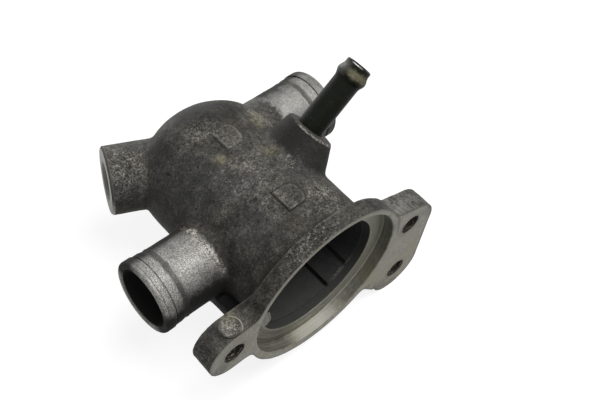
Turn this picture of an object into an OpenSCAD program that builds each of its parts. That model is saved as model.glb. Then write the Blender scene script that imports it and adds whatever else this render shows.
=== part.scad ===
// Thermostat housing: one aluminium casting with a machined three-bolt flange, two hose pipes,
// a sensor boss and a slanted boss that holds a pressed-in steel tube.
// The bore runs along Y. The machined flange face lies in the plane y = 0 and looks towards -Y,
// the front hose pipe points to -X, the rear hose pipe to +X, and the casting pads face up, +Z.

/* [Barrel and dome] */
// Outside diameter of the barrel
barrel_d = 56.8; // [54:0.2:60]
// Thickness of the cast wall
wall = 3.2; // [2.6:0.1:4]
// Depth from the flange face to the tip of the dome
dome_tip = 89.8; // [87:0.2:94]
// How much larger the radius of the dome's crown is than the barrel's
dome_over = 2.4; // [1.8:0.1:5]
// Radius that rounds the barrel over into the crown
knuckle_r = 12; // [9:0.5:14]

/* [Thermostat seat] */
// Diameter of the counterbore that takes the thermostat's rim
seat_d = 66; // [64:0.5:68]
// Depth of the counterbore
seat_depth = 5.1; // [3.5:0.1:6]
// Width of the turned ledge that the rim sits on
ledge_w = 6.8; // [6:0.1:7.5]
// Depth at which the turned throat ends and the cast cavity starts
throat_end = 8; // [7:0.2:9]
// How far the locating lug on the left stands into the throat
lug_h = 3.6; // [2:0.2:4]
// Width of the locating lug
lug_w = 10; // [8:0.5:12]

/* [Flange] */
// Thickness of the ring round the counterbore
ring_t = 7; // [6.8:0.1:8.5]
// How much thicker the ears are than the ring
ear_step = 2.6; // [1:0.1:3]
// Width of the land round the counterbore
land_w = 3; // [2.5:0.1:4]
// How far the ring's centre lies below the bore's axis
ring_drop = 0.5; // [0.2:0.1:0.8]
// Distance of the bolt holes beyond the ring's edge
hole_out = 7.5; // [7:0.1:10]
// Distance from the right upper hole down to the right lower hole
hole_drop = 30.6; // [29:0.2:33]
// Diameter of the bolt holes
hole_d = 8.4; // [6.6:0.1:9]
// Radius of the round end of the left ear
left_ear_r = 10.9; // [10:0.1:12]
// How far the centre of that end lies above its hole
left_ear_rise = 0.3; // [0.1:0.1:0.6]
// Radius of the round lower end of the right ear
lower_lobe_r = 12; // [10.5:0.1:13]
// Radius of the round upper end of the right ear
upper_lobe_r = 13.9; // [13:0.1:15]
// How far the centre of the upper end lies below its hole
upper_lobe_drop = 3.8; // [2:0.2:5]
// How far the centre of the upper end lies inside its hole
upper_lobe_in = 1.3; // [0:0.1:2]
// Slope of the right ear's top edge, in degrees
ear_slope = 20; // [12:1:24]
// Radius of the inside corners between the ears and the ring
ear_fillet = 9; // [6:0.5:10]
// Fillet between the back of the ring and the barrel
flange_fillet = 3; // [2:0.2:4]

/* [Hose pipes] */
// Outside diameter of the hose pipes
pipe_d = 28; // [26:0.2:30]
// Wall of the hose pipes
pipe_wall = 2.3; // [1.8:0.1:3]
// Length of a hose pipe beyond the barrel
pipe_len = 26.6; // [22:0.2:34]
// Depth of the front pipe's axis behind the flange face
front_pipe_y = 36.2; // [34:0.2:38]
// Distance of the rear pipe's axis before the dome's tip
rear_pipe_set = 22.3; // [21:0.1:24]
// Height of the lip at a pipe's end
lip_h = 0.5; // [0.3:0.1:1.2]
// Length of the lip
lip_w = 4.3; // [3.5:0.1:6]
// Length of the low band behind the lip
band_w = 3.2; // [3:0.2:7]
// Rounding of a pipe's rim
rim_r = 1.2; // [0.6:0.1:1.6]
// Radius of the gentle flare where the front pipe grows out of the barrel
pipe_flare = 24; // [20:1:30]

/* [Steel tube] */
// Outside diameter of the steel tube
tube_d = 10.4; // [9.6:0.1:11]
// Wall of the steel tube
tube_wall = 1.2; // [0.8:0.1:1.6]
// Depth of the tube's axis behind the flange face
tube_y = 44; // [43:0.2:46]
// Angle of the tube above the rear pipe's direction, in degrees
tube_angle = 43; // [40:1:48]
// Length of the tube beyond its boss
tube_len = 29; // [24:0.5:36]
// How far the rolled bead stands out from the tube
bead_h = 0.9; // [0.5:0.1:1.3]
// Distance of the bead's crest from the tube's tip
bead_set = 4.8; // [4.5:0.1:6.5]
// Height of the tube boss above the barrel
tube_boss_h = 9.6; // [8:0.2:12]
// Diameter of the tube boss at its top
tube_boss_d = 19.2; // [18:0.2:21]
// Draft of the tube boss, in degrees
tube_boss_draft = 19; // [14:1:20]
// Lean of the tube boss's foot towards the flange, in degrees
tube_boss_lean = 8; // [4:1:10]
// Thickness of the shoulder that stops the tube
shoulder_t = 2.4; // [1.5:0.1:3]
// Width of the shoulder that stops the tube
shoulder_w = 1.2; // [0.8:0.1:1.6]

/* [Sensor boss] */
// Outside diameter of the sensor boss
sensor_d = 26.6; // [24:0.2:28]
// Distance before the dome's tip at which the boss's axis meets the bore's axis
sensor_set = 20.5; // [19.5:0.1:21.5]
// Angle by which the boss leans back from the front pipe's direction, in degrees
sensor_angle = 24.8; // [22:0.2:28]
// Distance from the bore's axis to the end of the boss
sensor_reach = 38; // [36:0.1:40]
// Diameter of the sensor hole
sensor_hole_d = 14; // [12:0.5:16]
// Bevel round the edges of the sensor boss and its hole
sensor_bevel = 0.8; // [0.4:0.1:1.4]

/* [Casting details] */
// Length of the two flat casting pads on top, along the bore
pad_w = 9.6; // [8:0.2:10]
// How far the casting pads stand above the barrel's crown
pad_h = 0.2; // [0.1:0.1:0.6]
// Distance from the crown line to the pads' straight edge, towards the front pipe
pad_left = 4.6; // [4:0.1:5.4]
// Distance from the crown line to the pads' rounded edge
pad_right = 4.4; // [4:0.1:5]
// Depth of the front pad's middle behind the flange face
front_pad_y = 24.4; // [22:0.2:26]
// Depth of the rear pad's middle behind the flange face
rear_pad_y = 57.5; // [55:0.2:60]
// Diameter of the ejector mark on the left ear
ejector_d = 8.2; // [6:0.2:8.6]
// How far the ejector mark stands out
ejector_h = 0.4; // [0.2:0.1:0.8]
// How far the raised strip inside stands out of the cavity wall
strip_h = 2; // [1:0.1:3]
// Angle that the raised strip covers, in degrees
strip_sweep = 20; // [14:1:26]
// Depth at which the raised strip ends
strip_end = 30; // [24:0.5:34]
// How far the web behind the left ear stands out of the barrel
web_out = 3.9; // [2:0.1:6]
// Thickness of the web
web_t = 6.2; // [4:0.2:8]

/* [Hidden] */
$fn = 48;
// Overlap that lets solids of the casting run into each other, and cuts run past faces
run_in = 1;
// Radii and reaches
barrel_r = barrel_d / 2;
cavity_r = barrel_r - wall;
dome_r = barrel_r + dome_over;
seat_r = seat_d / 2;
throat_r = seat_r - ledge_w;
ring_r = seat_r + land_w;
ear_t = ring_t + ear_step;
hole_x = ring_r + hole_out;
pipe_r = pipe_d / 2;
pipe_bore_r = pipe_r - pipe_wall;
pipe_reach = barrel_r + pipe_len;
tube_r = tube_d / 2;
tube_boss_top = barrel_r + tube_boss_h;
tube_seat = cavity_r + shoulder_t;
tube_tip = tube_boss_top + tube_len;
sensor_r = sensor_d / 2;
rear_pipe_y = dome_tip - rear_pipe_set;
sensor_y = dome_tip - sensor_set;
// Centres of the two arcs of the dome: crown on the axis, knuckle inside the barrel wall
crown_y = dome_tip - dome_r;
knuckle_x = barrel_r - knuckle_r;
knuckle_y = crown_y + sqrt(pow(dome_r - knuckle_r, 2) - pow(knuckle_x, 2));
knuckle_sweep = atan2(knuckle_y - crown_y, knuckle_x);
// Fillet arcs are cut this much fuller than tangent, so that they end in a clean edge
fillet_over = 0.12;
// Small sizes
hole_bevel = 0.3;
groove_w = 0.4;
groove_h = 0.3;
band_h = 0.15;
bore_bevel = 0.5;
bead_half = 3.2;
tip_bevel = 0.4;
pad_corner_r = 3.4;
lug_corner = 2;
web_bevel = 1;
// Angles of features round the bore, in degrees below +X
strip_middle = 51;
lug_middle = 168;
// Direction in which the right ear's lower edge faces, in degrees above +X
foot_edge = 222;
// Straight edges of the right ear: direction of each normal and distance from the bore
lobe = [hole_x - upper_lobe_in, -upper_lobe_drop];
foot = [hole_x, -hole_drop];
top_edge = 90 - ear_slope;
top_n = [cos(top_edge), sin(top_edge)];
foot_n = [cos(foot_edge), sin(foot_edge)];
top_d = lobe * top_n + upper_lobe_r;
foot_d = foot * foot_n + lower_lobe_r;
// How far the web's middle lies below the front pipe's axis
web_drop = 8.6;
// Where the ejector mark lies: inside the left hole, and behind the flange face
ejector_in = 0.7;
ejector_y = 4.3;
// Where the flares of the front pipe and of the tube boss start above the barrel and end inside it
flare_top = 4.5;
pipe_flare_sink = 6.2;
boss_flare = 11;
boss_stem = 0.8;
boss_flare_sink = 4.5;

// Points of an arc about a centre, from one angle to another
function arc(centre, radius, from, to, steps) =
    [for (i = [0:steps]) let (a = from + (to - from) * i / steps) centre + radius * [cos(a), sin(a)]];

// Half section of the barrel and dome, moved in from the outside by inset, from depth start
function shell_section(inset, start) = concat(
    [[0, start], [barrel_r - inset, start]],
    arc([knuckle_x, knuckle_y], knuckle_r - inset, 0, knuckle_sweep, 8),
    arc([0, crown_y], dome_r - inset, knuckle_sweep, 90, 12)
);

// Turn a shape that stands on Z so that it stands along the bore, +Y
module along_bore() rotate([-90, 0, 0]) children();

// Place a shape that stands on Z on one of the casting's other axes
module on_front_pipe() translate([0, front_pipe_y, 0]) rotate([0, -90, 0]) children();
module on_rear_pipe() translate([0, rear_pipe_y, 0]) rotate([0, 90, 0]) children();
module on_tube() translate([0, tube_y, 0]) rotate([0, 90 - tube_angle, 0]) children();
module on_sensor() translate([0, sensor_y, 0]) rotate([0, 90, 180 - sensor_angle]) children();

// Extrude an outline drawn in X and Z from depth start over length deep
module through_flange(start, deep)
    rotate([90, 0, 0]) translate([0, 0, -start - deep]) linear_extrude(deep) children();

// Concave flare round a stem of radius stem_r: it leaves the stem at height top and reaches down to bottom
module flare(stem_r, top, bottom, radius) {
    rotate_extrude() difference() {
        translate([0, bottom]) square([stem_r + radius, top - bottom]);
        translate([stem_r + radius, top]) circle(radius + fillet_over);
    }
}

// Outline of a casting pad: straight on the left, with round corners on the right
module pad_outline() {
    m = pad_w / 2 - pad_corner_r;
    x = pad_right - pad_corner_r;
    polygon(concat([[-pad_left, -pad_w / 2]], arc([x, -m], pad_corner_r, -90, 0, 5),
        arc([x, m], pad_corner_r, 0, 90, 5), [[-pad_left, pad_w / 2]]));
}

// Inside corner between the ring and a straight edge at distance d from the bore, with its normal at angle a
// side says on which end of the edge the corner lies: +1 to the left of the normal, -1 to the right
module ring_corner(a, d, side) {
    normal = [cos(a), sin(a)];
    along = side * [-sin(a), cos(a)];
    rise = d + ring_drop * sin(a) + ear_fillet;
    run = sqrt(pow(ring_r + ear_fillet, 2) - pow(rise, 2));
    centre = normal * rise + along * run;
    translate([0, -ring_drop]) difference() {
        polygon([[0, 0], centre * ring_r / (ring_r + ear_fillet), centre, centre - normal * ear_fillet]);
        translate(centre) circle(ear_fillet + fillet_over);
    }
}

// Outline of the two ears in X and Z, down to the bore: the right one is long and has two holes
module ear_outline() {
    translate([-hole_x, left_ear_rise]) circle(left_ear_r);
    translate([-hole_x, left_ear_rise - left_ear_r]) square([hole_x, 2 * left_ear_r]);
    translate(lobe) circle(upper_lobe_r);
    translate(foot) circle(lower_lobe_r);
    polygon([top_d * top_n, lobe + upper_lobe_r * top_n, lobe + [upper_lobe_r, 0],
        foot + [lower_lobe_r, 0], foot + lower_lobe_r * foot_n, foot_d * foot_n]);
}

// Outline of the ring with its corners to the ears, in X and Z
module ring_outline() {
    translate([0, -ring_drop]) circle(ring_r);
    ring_corner(90, left_ear_r + left_ear_rise, 1);
    ring_corner(270, left_ear_r - left_ear_rise, -1);
    ring_corner(top_edge, top_d, -1);
    ring_corner(foot_edge, foot_d, 1);
}

// Places a shape at each of the three bolt holes, in X and Z
module at_holes() {
    for (p = [[-hole_x, 0], [hole_x, 0], [hole_x, -hole_drop]]) translate(p) children();
}

// Outside of a hose pipe, standing on the bore's axis: stem, low band, groove and rounded lip
module pipe_outside() {
    lip_r = pipe_r + lip_h;
    band_r = pipe_r + band_h;
    lip_from = pipe_reach - lip_w;
    band_from = lip_from - groove_w - band_w;
    rotate_extrude() polygon(concat(
        [[0, 0], [pipe_r, 0], [pipe_r, band_from - band_h], [band_r, band_from],
            [band_r, lip_from - groove_w], [band_r - groove_h, lip_from - groove_w],
            [band_r - groove_h, lip_from], [lip_r, lip_from]],
        arc([lip_r - rim_r, pipe_reach - rim_r], rim_r, 0, 90, 5),
        [[0, pipe_reach]]
    ));
}

// Bore of a hose pipe, from the bore's axis out through the rim
module pipe_bore() {
    cylinder(r = pipe_bore_r, h = pipe_reach + run_in);
    translate([0, 0, pipe_reach - bore_bevel])
        cylinder(r1 = pipe_bore_r, r2 = pipe_bore_r + bore_bevel + run_in, h = bore_bevel + run_in);
}

// Drafted boss of the steel tube: its foot leans towards the flange, and its root is flared
module tube_boss_outside() {
    top_r = tube_boss_d / 2;
    root_r = top_r + tube_boss_top * tan(tube_boss_draft);
    tip_r = top_r - run_in * tan(tube_boss_draft) * 2;
    intersection() {
        translate([0, 0, tube_boss_top]) rotate([-tube_boss_lean, 0, 0]) translate([0, 0, -tube_boss_top])
            cylinder(r1 = root_r, r2 = tip_r, h = tube_boss_top + 2 * run_in);
        cylinder(r = 2 * tube_boss_d, h = tube_boss_top);
    }
    flare(top_r + boss_stem, barrel_r + flare_top, barrel_r - boss_flare_sink, boss_flare);
}

// Hole for the steel tube, down to a shoulder, with a narrower way into the cavity
module tube_hole() {
    translate([0, 0, tube_seat]) cylinder(r = tube_r, h = tube_boss_top - tube_seat + run_in);
    cylinder(r = tube_r - shoulder_w, h = tube_seat + run_in);
}

// Sensor boss with a bevelled end
module sensor_boss_outside() {
    rotate_extrude() polygon([[0, 0], [sensor_r, 0], [sensor_r, sensor_reach - sensor_bevel],
        [sensor_r - sensor_bevel, sensor_reach], [0, sensor_reach]]);
}

// Sensor hole with a bevelled mouth
module sensor_hole() {
    hole_r = sensor_hole_d / 2;
    cylinder(r = hole_r, h = sensor_reach + run_in);
    translate([0, 0, sensor_reach - sensor_bevel])
        cylinder(r1 = hole_r, r2 = hole_r + sensor_bevel + run_in, h = sensor_bevel + run_in);
}

// Web between the back of the left ear and the root of the front pipe
module ear_web() {
    out = barrel_r + web_out;
    top = web_t / 2 - web_drop;
    low = top - web_t;
    through_flange(ear_t - run_in, front_pipe_y - ear_t)
        polygon([[0, top], [-out, top], [-out, low + web_bevel], [web_bevel - out, low], [0, low]]);
}

// Everything that is solid before the hollows are cut
module casting_outside() {
    along_bore() rotate_extrude() polygon(shell_section(0, seat_depth));
    through_flange(0, ring_t) ring_outline();
    through_flange(0, ear_t) ear_outline();
    along_bore() flare(barrel_r, ring_t + flange_fillet, ring_t - run_in, flange_fillet);
    on_front_pipe() pipe_outside();
    on_front_pipe() flare(pipe_r, barrel_r + flare_top, barrel_r - pipe_flare_sink, pipe_flare);
    on_rear_pipe() pipe_outside();
    on_tube() tube_boss_outside();
    on_sensor() sensor_boss_outside();
    ear_web();
    translate([ejector_in - hole_x, ejector_y, 0])
        cylinder(d = ejector_d, h = left_ear_r + left_ear_rise + ejector_h);
    for (y = [front_pad_y, rear_pad_y]) translate([0, y, cavity_r + run_in])
        linear_extrude(wall - run_in + pad_h) pad_outline();
}

// Turned seat and throat, cast cavity, bores and holes
module casting_hollows() {
    hole_r = hole_d / 2;
    along_bore() {
        translate([0, 0, -run_in]) cylinder(r = seat_r, h = seat_depth + run_in);
        cylinder(r = throat_r, h = throat_end);
        rotate_extrude() polygon(shell_section(wall, throat_end - run_in));
    }
    on_front_pipe() pipe_bore();
    on_rear_pipe() pipe_bore();
    on_tube() tube_hole();
    on_sensor() sensor_hole();
    through_flange(-run_in, ear_t + 2 * run_in) at_holes() circle(hole_r);
    rotate([90, 0, 0]) at_holes() translate([0, 0, -hole_bevel])
        cylinder(r1 = hole_r, r2 = hole_r + hole_bevel + run_in, h = hole_bevel + run_in);
}

// Lug on the left of the throat that keys the thermostat
module throat_lug() {
    inner = throat_r - lug_h;
    half = lug_w / 2;
    through_flange(seat_depth, throat_end - seat_depth + run_in) rotate(-lug_middle)
        polygon([[throat_r + run_in, -half], [inner + lug_corner, -half], [inner, lug_corner - half],
            [inner, half - lug_corner], [inner + lug_corner, half], [throat_r + run_in, half]]);
}

// Raised strip along the cavity wall, low on the right
module cavity_strip() {
    along_bore() rotate_extrude(angle = strip_sweep, start = strip_middle - strip_sweep / 2)
        translate([cavity_r - strip_h, throat_end]) square([strip_h + run_in, strip_end - throat_end]);
}

// The casting, one piece
module cast_housing() {
    color([0.42, 0.41, 0.38]) union() {
        difference() {
            casting_outside();
            casting_hollows();
        }
        throat_lug();
        cavity_strip();
    }
}

// Steel tube pressed into its boss: straight, with a rolled bead behind its tip
module steel_tube() {
    bore_r = tube_r - tube_wall;
    crest = tube_tip - bead_set;
    bead_steps = 12;
    bead = [for (i = [0:bead_steps]) let (a = i / bead_steps)
        [tube_r + bead_h * (1 - cos(360 * a)) / 2, crest + bead_half * (2 * a - 1)]];
    color([0.08, 0.08, 0.08]) on_tube() rotate_extrude() polygon(concat(
        [[bore_r, tube_seat], [tube_r, tube_seat]],
        bead,
        [[tube_r, tube_tip - tip_bevel], [tube_r - tip_bevel, tube_tip], [bore_r, tube_tip]]
    ));
}

cast_housing();
steel_tube();
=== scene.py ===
"""Dressed model of a cast coolant housing: an aluminium casting with a machined flange and brushed hose
pipes, and a black steel tube pressed into its boss. Sizes are in millimetres until a mesh is finished."""
import math
from types import SimpleNamespace

import bmesh
import bpy
from mathutils import Matrix, Vector


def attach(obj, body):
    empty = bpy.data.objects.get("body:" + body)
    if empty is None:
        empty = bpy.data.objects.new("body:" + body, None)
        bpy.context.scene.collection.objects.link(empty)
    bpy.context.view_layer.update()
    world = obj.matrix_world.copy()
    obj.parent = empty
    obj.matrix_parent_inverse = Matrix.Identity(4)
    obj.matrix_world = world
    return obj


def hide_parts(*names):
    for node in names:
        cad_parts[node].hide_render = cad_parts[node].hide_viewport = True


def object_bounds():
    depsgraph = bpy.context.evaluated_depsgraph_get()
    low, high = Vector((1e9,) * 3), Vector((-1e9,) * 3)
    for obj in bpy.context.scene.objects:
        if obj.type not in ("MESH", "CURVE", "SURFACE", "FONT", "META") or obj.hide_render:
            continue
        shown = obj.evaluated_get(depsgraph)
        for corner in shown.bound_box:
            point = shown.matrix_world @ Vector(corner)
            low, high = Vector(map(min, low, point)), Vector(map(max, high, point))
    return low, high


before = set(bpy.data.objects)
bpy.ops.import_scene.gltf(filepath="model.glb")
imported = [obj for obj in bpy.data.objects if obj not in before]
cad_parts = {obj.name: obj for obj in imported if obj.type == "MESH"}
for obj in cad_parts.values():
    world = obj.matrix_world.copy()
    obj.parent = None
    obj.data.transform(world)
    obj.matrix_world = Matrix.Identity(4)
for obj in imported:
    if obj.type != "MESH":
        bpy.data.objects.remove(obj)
cad_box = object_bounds()

MM = 0.001

# Barrel, dome, seat and throat, as in the part's source
BARREL_R = 28.4
WALL = 3.2
CROWN_Y = 59.0
DOME_R = 30.8
KNUCKLE = 4.0
SEAT_R = 33.0
SEAT_DEPTH = 5.1
SEAT_BEVEL = 0.3
THROAT_R = 26.2
THROAT_END = 8.0
LUG_H = 3.6
LUG_W = 10.0
LUG_CORNER = 2.0
LUG_ANGLE = 168.0
STRIP_ANGLE = 51.0
STRIP_W = 8.4
STRIP_R = 23.2
STRIP_ROOT_R = 27.0
STRIP_END = 30.0

# Flange: ring, ears and bolt holes. A lobe is the place of its centre in X and Z, and its radius
RING_R = 36.0
RING_DROP = 0.5
RING_T = 7.0
EAR_T = 9.6
HOLE_X = 43.5
HOLE_DROP = 30.6
HOLE_R = 4.2
BOLT_HOLES = ((-HOLE_X, 0.0), (HOLE_X, 0.0), (HOLE_X, -HOLE_DROP))
BOLT_THREAD_H = 0.25
BOLT_PITCH = 1.25
LEFT_EAR_R = 10.9
LEFT_EAR_RISE = 0.3
UPPER_LOBE = (42.2, -3.8, 13.9)
LOWER_LOBE = (HOLE_X, -HOLE_DROP, 12.0)
TOP_EDGE = 70.0
FOOT_EDGE = 222.0
EAR_OVERLAP = 1.0
EAR_CORNER = 5.0

# Hose pipes
PIPE_R = 14.0
PIPE_BORE_R = 11.7
PIPE_REACH = 55.0
FRONT_PIPE_Y = 36.2
REAR_PIPE_Y = 67.5
LIP_H = 0.5
LIP_W = 4.3
BAND_H = 0.15
BAND_W = 3.2
GROOVE_W = 0.4
GROOVE_H = 0.3
VALLEY_W = 2.6
VALLEY_H = 0.2
LINE_H = 0.12
LINE_HALF_W = 0.15
SLEEVE_FROM = 43.6
RIM_R = 1.2

# Steel tube and its boss
TUBE_Y = 44.0
TUBE_ANGLE = 43.0
TUBE_R = 5.2
TUBE_SEAT = 27.6
TUBE_BOSS_TOP = 38.0
TUBE_BOSS_R = 9.6
TUBE_BOSS_DRAFT = 19.0
TUBE_BOSS_LEAN = 8.0
SHOULDER_W = 1.2

# Sensor boss
SENSOR_R = 13.3
SENSOR_Y = 69.3
SENSOR_ANGLE = 24.8
SENSOR_REACH = 38.0
SENSOR_HOLE_R = 7.0
SENSOR_BEVEL = 0.8
SENSOR_THREAD_H = 0.65
SENSOR_PITCH = 1.5

# Casting pads, web and ejector mark
PAD_W = 9.6
PAD_LEFT = -4.6
PAD_RIGHT = 4.4
PAD_CORNER = 3.4
PAD_TOP = 28.6
FRONT_PAD_Y = 24.4
REAR_PAD_Y = 57.5
WEB_DROP = 8.6
WEB_T = 6.2
WEB_X = 32.3
EJECTOR_X = 42.8
EJECTOR_Y = 4.3
EJECTOR_R = 4.1
EJECTOR_TOP = 11.4

# Fillets of the cast skin, handed to the geometry trees
FILLETS = {
    "Pipe fillet": 4.5,
    "Boss fillet": 1.8,
    "Sensor fillet": 1.6,
    "Flange fillet": 4.0,
    "Edge round": 1.2,
}

# Cast surface: how deep its waves go in, and the room kept to the solid's box
WAVE_SCALE = 0.16
WAVE_H = 0.3
SKIN_INSET = 0.05

# Grid that the skin is meshed on, and how far nooks and edges are felt
GRID_LOW = (-58.0, -3.0, -45.0)
GRID_HIGH = (59.0, 100.0, 35.0)
VOXEL = 0.85
NOOK_REACH = 4.0
EDGE_REACH = 1.2
SHARP_ANGLE = 32.0

# Camera: lens, place, and the directions to its right, above it and behind it
CAMERA_LENS = 61.96
CAMERA_PLACE = (-166.286, -113.342, 312.148)
CAMERA_RIGHT = (0.734043, -0.66899, 0.116762)
CAMERA_ABOVE = (0.489733, 0.640585, 0.59145)
CAMERA_BACK = (-0.47047, -0.376967, 0.797843)

# Light: sky on the object, and glow of the floor as the camera sees it.
# A softbox is its place and size in metres, and its watts
FILL_LEVEL = 0.2
FLOOR_GLOW = 0.84
FLOOR_GREY = 0.25
FLOOR_HALF = 4000.0
AIM = (0.0, 0.04, 0.0)
SOFTBOXES = {
    "overhead_softbox": ((0.1, -0.12, 0.76), 0.5, 5.7),
    "back_softbox": ((0.2, 0.62, 0.1), 0.26, 2.0),
}

# Blobs of wear and stain on the casting: centre, radius and amount
HANDLED = (
    ((-6, 39, 27), 14, 0.65), ((-8, 27, 27), 10, 0.5), ((10, 17, 26), 13, 0.8), ((-29, 77, 12), 13, 1.0),
    ((-12, 4, 34), 15, 1.0), ((12, 35, 27.5), 5.5, 1.0), ((43, 5, 10), 12, 0.4), ((21, 61, 20), 11, 1.2),
    ((-6, 66, 27), 9, 0.9), ((-54, 5, -1), 9, 1.0), ((0, 57.5, 28.6), 6, 0.3), ((0, 24.4, 28.6), 6, 0.3))
# Spots where the skin is darker, most of them on the left flank and the dome's far top.
DARKER_SPOTS = (
    ((-23, 51, 16), 20, 0.1), ((-22, 17, 18), 15, 0.3), ((4, 76, 27), 19, 1.8), ((-18, 72, 20), 10, 0.8),
    ((-26, 26, 11), 11, 0.7), ((-25, 8, 25), 9, 0.4), ((-12, 4, 34), 15, 0.6))
BLUISH = (((-20, 52, 19), 17, 1.2), ((-16, 24, 23), 12, 1.0))
OCHRE = (
    ((-8.5, 51.6, 26.8), 3.0, 0.7), ((19.5, 63, 20.5), 5.0, 0.7), ((15, 58, 24), 4.0, 0.5),
    ((-41, 8, 11), 5.0, 0.4), ((8, 44, 28), 4.0, 0.5))
RUBBED = (((33, 5, 12), 10, 0.9), ((41, 4, 11), 9, 0.6), ((50, 4, 6), 7, 0.2))
SOILED = (
    ((35, 0, -38), 8, 1.2), ((43, 0, -41), 6, 1.0), ((-50, 0, -6), 6, 1.0), ((54, 0, 2), 6, 0.8),
    ((31, 0, 8), 5, 0.7), ((27, 0, -29), 3, 0.8))
COOLANT = (((8.6, 5.0, -26.0), 4.5, 1.0), ((31, 4.0, 9.0), 5.0, 0.6))


class Wire:
    """One socket of a node tree. Sums and products of wires add the Math nodes that work them out."""

    def __init__(self, board, socket):
        self.board = board
        self.socket = socket

    def math(self, operation, *others):
        return self.board.math(operation, self, *others)

    def __add__(self, other):
        return self.math("ADD", other)

    def __radd__(self, other):
        return self.board.math("ADD", other, self)

    def __sub__(self, other):
        return self.math("SUBTRACT", other)

    def __rsub__(self, other):
        return self.board.math("SUBTRACT", other, self)

    def __mul__(self, other):
        return self.math("MULTIPLY", other)

    def __rmul__(self, other):
        return self.board.math("MULTIPLY", other, self)

    def __truediv__(self, other):
        return self.math("DIVIDE", other)

    def __rtruediv__(self, other):
        return self.board.math("DIVIDE", other, self)

    def __neg__(self):
        return self.board.math("MULTIPLY", self, -1.0)

    def __abs__(self):
        return self.math("ABSOLUTE")

    def __pow__(self, other):
        return self.math("POWER", other)

    def least(self, other):
        return self.math("MINIMUM", other)

    def most(self, other):
        return self.math("MAXIMUM", other)

    def join(self, other, width):
        """Smooth union of two distances."""
        return self.math("SMOOTH_MIN", other, width)

    def trim(self, other, width):
        """Smooth intersection of two distances."""
        return self.math("SMOOTH_MAX", other, width)

    def between(self, low, high):
        return self.most(low).least(high)

    def rise(self, low, high):
        """Soft step from 0 below low to 1 above high."""
        return self.board.add("ShaderNodeMapRange", {"interpolation_type": "SMOOTHSTEP"}, {
            "Value": self, "From Min": low, "From Max": high})

    def fall(self, low, high):
        return 1.0 - self.rise(low, high)

    def band(self, low, high, soft):
        """Soft window between two values."""
        return self.rise(low - soft, low + soft) * self.fall(high - soft, high + soft)


class Board:
    """A node tree under construction."""

    def __init__(self, tree):
        self.tree = tree

    def add(self, kind, settings=None, sockets=None, out=0):
        """One node: its type, its settings, the values or wires of its sockets, and the output handed on."""
        node = self.tree.nodes.new(kind)
        for name, value in (settings or {}).items():
            if name == "stops":
                self.ramp(node.color_ramp, value)
            else:
                setattr(node, name, value)
        for key, value in (sockets or {}).items():
            socket = self.pick(node.inputs, key)
            if isinstance(value, Wire):
                self.tree.links.new(value.socket, socket)
            else:
                socket.default_value = value
        return None if out is None else Wire(self, self.pick(node.outputs, out))

    @staticmethod
    def pick(sockets, key):
        if isinstance(key, int):
            return sockets[key]
        return next(s for s in sockets if s.enabled and key in (s.name, s.identifier))

    @staticmethod
    def ramp(ramp, stops):
        while len(ramp.elements) < len(stops):
            ramp.elements.new(1.0)
        for element, (place, colour) in zip(ramp.elements, stops):
            element.position = place
            element.color = (*colour, 1.0)

    def outputs(self, kind, sockets=None):
        """All outputs of one node, by name."""
        node = self.add(kind, None, sockets).socket.node
        return {s.name: Wire(self, s) for s in node.outputs if s.name}

    def math(self, operation, *values):
        return self.add("ShaderNodeMath", {"operation": operation}, dict(enumerate(values)))

    def split(self, vector):
        return tuple(self.outputs("ShaderNodeSeparateXYZ", {0: vector}).values())

    def vector(self, operation, a, b=None, out=0, **more):
        sockets = {0: a}
        if b is not None:
            sockets[1] = b
        sockets.update(more)
        return self.add("ShaderNodeVectorMath", {"operation": operation}, sockets, out)

    def length(self, a, b):
        """Distance from the crossing of two axes."""
        return (a * a + b * b) ** 0.5

    def noise(self, place, scale, detail=2.0, rough=0.5):
        return self.add("ShaderNodeTexNoise", None, {
            "Vector": place, "Scale": scale, "Detail": detail, "Roughness": rough})

    def colours(self, tone, stops):
        """Colour ramp."""
        return self.add("ShaderNodeValToRGB", {"stops": stops}, {"Fac": tone})

    def mix(self, share, a, b):
        """Blend of two colours."""
        sockets = {"Factor_Float": share}
        for name, colour in (("A_Color", a), ("B_Color", b)):
            sockets[name] = colour if isinstance(colour, Wire) else (*colour, 1.0)
        return self.add("ShaderNodeMix", {"data_type": "RGBA"}, sockets, "Result_Color")

    def layered(self, colour, layers):
        """Lays colours over each other: each layer has its share and its colour."""
        for share, tint in layers:
            colour = self.mix(share, colour, tint)
        return colour

    def blend(self, share, a, b):
        """Blend of two numbers."""
        return a + share * (b - a)


def turn(degrees):
    return math.cos(math.radians(degrees)), math.sin(math.radians(degrees))


def largest(parts):
    """Largest of several masks."""
    whole = parts[0]
    for part in parts[1:]:
        whole = whole.most(part)
    return whole


# Distances from the casting's forms. The geometry trees and the finish both use them


def ears_distance(board, x, z):
    """Distance from the outline of the two ears, in X and Z."""
    run = x.between(-HOLE_X, 0.0)
    left = board.length(x - run, z - LEFT_EAR_RISE) - LEFT_EAR_R
    ax, az, ar = UPPER_LOBE
    bx, bz, br = LOWER_LOBE
    dx, dz = bx - ax, bz - az
    share = (((x - ax) * dx + (z - az) * dz) / (dx * dx + dz * dz)).between(0.0, 1.0)
    lobes = board.length(x - ax - share * dx, z - az - share * dz) - ar - share * (br - ar)
    top = turn(TOP_EDGE)
    foot = turn(FOOT_EDGE)
    top_d = ax * top[0] + az * top[1] + ar
    foot_d = bx * foot[0] + bz * foot[1] + br
    wedge = (x * top[0] + z * top[1] - top_d).most(x * foot[0] + z * foot[1] - foot_d)
    beyond_top = (x - ax) * top[1] - (z - az) * top[0] - EAR_OVERLAP
    beyond_foot = (z - bz) * foot[0] - (x - bx) * foot[1] - EAR_OVERLAP
    wedge = wedge.most(beyond_top).most(beyond_foot).most(-x)
    return left.least(lobes.least(wedge))


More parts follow.
